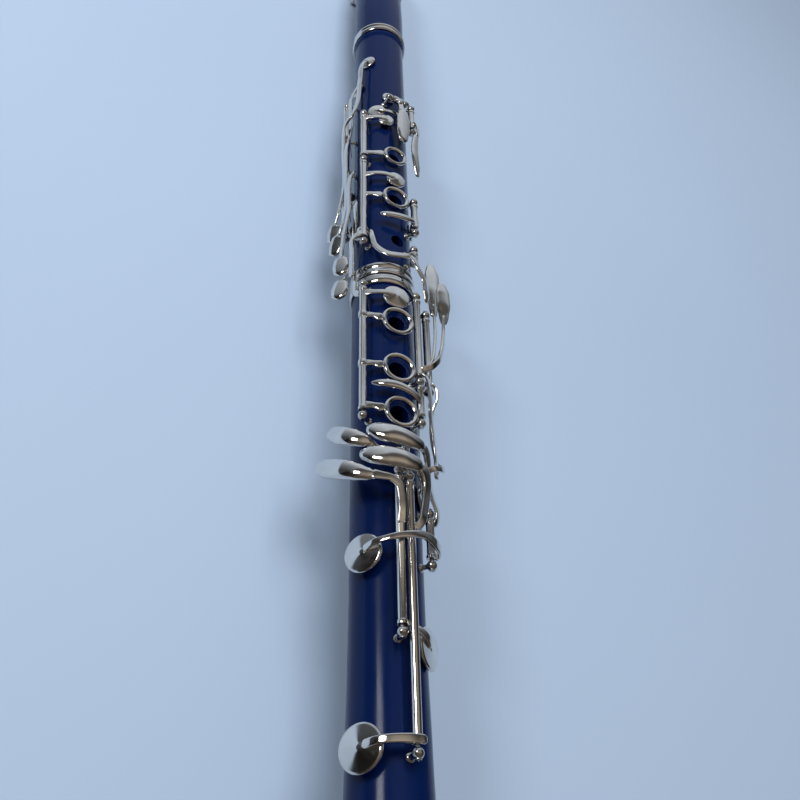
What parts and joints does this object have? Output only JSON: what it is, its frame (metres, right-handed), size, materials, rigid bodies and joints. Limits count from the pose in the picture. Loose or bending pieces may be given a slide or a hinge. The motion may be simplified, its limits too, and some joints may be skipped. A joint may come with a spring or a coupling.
{
  "type": "clarinet",
  "caption": "Keyed cylindrical woodwind with mouthpiece, barrel, two ringed and keyed joints and a flared bell; sprung keys hinge on pillars and open or close padded tone holes",
  "frame": {"origin": "centre of the footprint, on the surface the bell rim rests on, under the middle of the length", "axes": "+Y runs along the bore towards the mouthpiece tip, -Y is the bell end, +Z is the side with the finger holes, -Z the thumb side, +X is the side of the left-hand little-finger levers"},
  "size_m": [0.079, 0.667, 0.079],
  "materials": {
    "blue_abs": "polished deep navy blue ABS resin",
    "nickel": "mirror-bright nickel plate",
    "steel": "polished steel rods and nickel pillars",
    "black_resin": "polished black mouthpiece resin",
    "cane": "bare cane",
    "cork": "greased natural cork",
    "pad_skin": "thin skin over felt"
  },
  "bodies": {
    "body": {"a_key_hinge": "steel", "aflat_hinge": "steel", "barrel": "blue_abs", "barrel_ring_lower": "nickel", "barrel_ring_upper": "nickel", "bell": "blue_abs", "bell_rim_ring": "nickel", "bell_socket_ring": "nickel", "csharp_hinge": "steel", "e_b_hinge": "steel", "f_c_hinge": "steel", "fsharp_hinge": "steel", "gsharp_hinge": "steel", "left_lever_hinge_back": "steel", "left_lever_hinge_inner": "steel", "left_lever_hinge_outer": "steel", "ligature": "nickel", "ligature_screw_lower": "nickel", "ligature_screw_upper": "nickel", "lower_joint": "blue_abs", "lower_joint_cork": "cork", "lower_joint_ring": "nickel", "lower_ring_hinge": "steel", "mouthpiece": "black_resin", "mouthpiece_cork": "cork", "reed": "cane", "register_hinge": "steel", "side_key_hinge": "steel", "sliver_hinge": "steel", "thumb_rest": "nickel", "thumb_ring_hinge": "steel", "upper_joint": "blue_abs", "upper_joint_bottom_cork": "cork", "upper_joint_ring": "nickel", "upper_joint_top_cork": "cork", "upper_ring_hinge": "steel"},
    "first_ring_key": {"first_ring_key": "nickel"},
    "second_ring_key": {"second_ring_key": "nickel"},
    "gsharp_key": {"gsharp_key": "nickel"},
    "side_key_1": {"side_key_1": "nickel"},
    "side_key_2": {"side_key_2": "nickel"},
    "side_key_3": {"side_key_3": "nickel"},
    "side_key_4": {"side_key_4": "nickel"},
    "sliver_key": {"sliver_key": "nickel"},
    "csharp_key": {"csharp_key": "nickel"},
    "thumb_ring_key": {"thumb_ring_key": "nickel"},
    "lower_ring_key": {"lower_ring_key": "nickel"},
    "banana_key": {"banana_key": "nickel"},
    "left_fsharp_lever": {"left_fsharp_lever": "nickel"},
    "left_e_b_lever": {"left_e_b_lever": "nickel"},
    "left_f_c_lever": {"left_f_c_lever": "nickel"},
    "fsharp_key": {"fsharp_key": "nickel", "fsharp_pad": "pad_skin"},
    "aflat_key": {"aflat_key": "nickel"},
    "e_b_key": {"e_b_key": "nickel", "e_b_pad": "pad_skin"},
    "f_c_key": {"f_c_key": "nickel", "f_c_pad": "pad_skin"},
    "a_key": {"a_key": "nickel"},
    "register_key": {"register_key": "nickel"}
  },
  "joints": [
    {"name": "first_ring_key_hinge", "type": "hinge", "parent": "body", "child": "first_ring_key", "pos_m": [-0.01453, 0.0959, 0.05045], "axis": [0, 1, 0], "range_deg": [0, 6], "stiffness_Nm_per_rad": 0.04, "springref_deg": -20.05},
    {"name": "second_ring_key_hinge", "type": "hinge", "parent": "body", "child": "second_ring_key", "pos_m": [-0.01453, 0.0482, 0.05045], "axis": [0, 1, 0], "range_deg": [0, 6], "stiffness_Nm_per_rad": 0.04, "springref_deg": -20.05},
    {"name": "gsharp_key_hinge", "type": "hinge", "parent": "body", "child": "gsharp_key", "pos_m": [0.01194, 0.1199, 0.05324], "axis": [0, 1, 0], "range_deg": [0, 5], "stiffness_Nm_per_rad": 0.04, "springref_deg": -20.05},
    {"name": "side_key_1_hinge", "type": "hinge", "parent": "body", "child": "side_key_1", "pos_m": [-0.01802, 0.1205, 0.03632], "axis": [0, -1, 0], "range_deg": [0, 4.5], "stiffness_Nm_per_rad": 0.04, "springref_deg": -20.05},
    {"name": "side_key_2_hinge", "type": "hinge", "parent": "body", "child": "side_key_2", "pos_m": [-0.01802, 0.0922, 0.03632], "axis": [0, -1, 0], "range_deg": [0, 4.5], "stiffness_Nm_per_rad": 0.04, "springref_deg": -20.05},
    {"name": "side_key_3_hinge", "type": "hinge", "parent": "body", "child": "side_key_3", "pos_m": [-0.01802, 0.0672, 0.03632], "axis": [0, 1, 0], "range_deg": [0, 3.4], "stiffness_Nm_per_rad": 0.04, "springref_deg": -20.05},
    {"name": "side_key_4_hinge", "type": "hinge", "parent": "body", "child": "side_key_4", "pos_m": [-0.01802, 0.044, 0.03632], "axis": [0, 1, 0], "range_deg": [0, 5], "stiffness_Nm_per_rad": 0.04, "springref_deg": -20.05},
    {"name": "sliver_key_hinge", "type": "hinge", "parent": "body", "child": "sliver_key", "pos_m": [0.01013, 0.0415, 0.0551], "axis": [0, -1, 0], "range_deg": [0, 6], "stiffness_Nm_per_rad": 0.04, "springref_deg": -20.05},
    {"name": "csharp_key_hinge", "type": "hinge", "parent": "body", "child": "csharp_key", "pos_m": [0.00844, 0.0132, 0.05607], "axis": [0, 1, 0], "range_deg": [0, 2], "stiffness_Nm_per_rad": 0.04, "springref_deg": -20.05},
    {"name": "thumb_ring_key_hinge", "type": "hinge", "parent": "body", "child": "thumb_ring_key", "pos_m": [0.01403, 0.114, 0.02854], "axis": [0, 1, 0], "range_deg": [0, 6], "stiffness_Nm_per_rad": 0.04, "springref_deg": -20.05},
    {"name": "lower_ring_key_hinge", "type": "hinge", "parent": "body", "child": "lower_ring_key", "pos_m": [-0.01497, -0.0451, 0.0512], "axis": [0, 1, 0], "range_deg": [0, 4.4], "stiffness_Nm_per_rad": 0.06, "springref_deg": -20.05},
    {"name": "banana_key_hinge", "type": "hinge", "parent": "body", "child": "banana_key", "pos_m": [0.00859, -0.0706, 0.056], "axis": [0, -1, 0], "range_deg": [0, 6], "stiffness_Nm_per_rad": 0.04, "springref_deg": -20.05},
    {"name": "left_fsharp_lever_hinge", "type": "hinge", "parent": "body", "child": "left_fsharp_lever", "pos_m": [0.00859, -0.0361, 0.056], "axis": [0, 1, 0], "range_deg": [0, 4], "stiffness_Nm_per_rad": 0.04, "springref_deg": -20.05},
    {"name": "left_e_b_lever_hinge", "type": "hinge", "parent": "body", "child": "left_e_b_lever", "pos_m": [0.01403, -0.041, 0.05403], "axis": [0, 1, 0], "range_deg": [0, 6], "stiffness_Nm_per_rad": 0.04, "springref_deg": -20.05},
    {"name": "left_f_c_lever_hinge", "type": "hinge", "parent": "body", "child": "left_f_c_lever", "pos_m": [0.0185, -0.039, 0.03756], "axis": [0, 1, 0], "range_deg": [0, 4.2], "stiffness_Nm_per_rad": 0.04, "springref_deg": -20.05},
    {"name": "fsharp_key_hinge", "type": "hinge", "parent": "body", "child": "fsharp_key", "pos_m": [0.01145, -0.1319, 0.05416], "axis": [0, -1, 0], "range_deg": [0, 4.2], "stiffness_Nm_per_rad": 0.06, "springref_deg": -20.05},
    {"name": "aflat_key_hinge", "type": "hinge", "parent": "body", "child": "aflat_key", "pos_m": [0.0006, -0.0972, 0.05669], "axis": [0, -1, 0], "range_deg": [0, 5], "stiffness_Nm_per_rad": 0.04, "springref_deg": -20.05},
    {"name": "e_b_key_hinge", "type": "hinge", "parent": "body", "child": "e_b_key", "pos_m": [0.00052, -0.1608, 0.05949], "axis": [0, -1, 0], "range_deg": [0, 5.5], "stiffness_Nm_per_rad": 0.06, "springref_deg": -20.05},
    {"name": "f_c_key_hinge", "type": "hinge", "parent": "body", "child": "f_c_key", "pos_m": [-0.00364, -0.1402, 0.05917], "axis": [0, -1, 0], "range_deg": [0, 3], "stiffness_Nm_per_rad": 0.06, "springref_deg": -20.05},
    {"name": "a_key_hinge", "type": "hinge", "parent": "body", "child": "a_key", "pos_m": [0.00102, 0.1241, 0.05887], "axis": [0.9986, 0, -0.0523], "range_deg": [0, 5], "stiffness_Nm_per_rad": 0.04, "springref_deg": -20.05},
    {"name": "register_key_hinge", "type": "hinge", "parent": "body", "child": "register_key", "pos_m": [0, 0.1435, 0.0219], "axis": [-1, 0, 0], "range_deg": [0, 5], "stiffness_Nm_per_rad": 0.04, "springref_deg": -20.05}
  ],
  "couplings": [
    {"joint": "left_e_b_lever_hinge", "follows": "e_b_key_hinge", "ratio": 1.09},
    {"joint": "left_fsharp_lever_hinge", "follows": "fsharp_key_hinge", "ratio": 0.952},
    {"joint": "left_f_c_lever_hinge", "follows": "f_c_key_hinge", "ratio": 1.4}
  ]
}
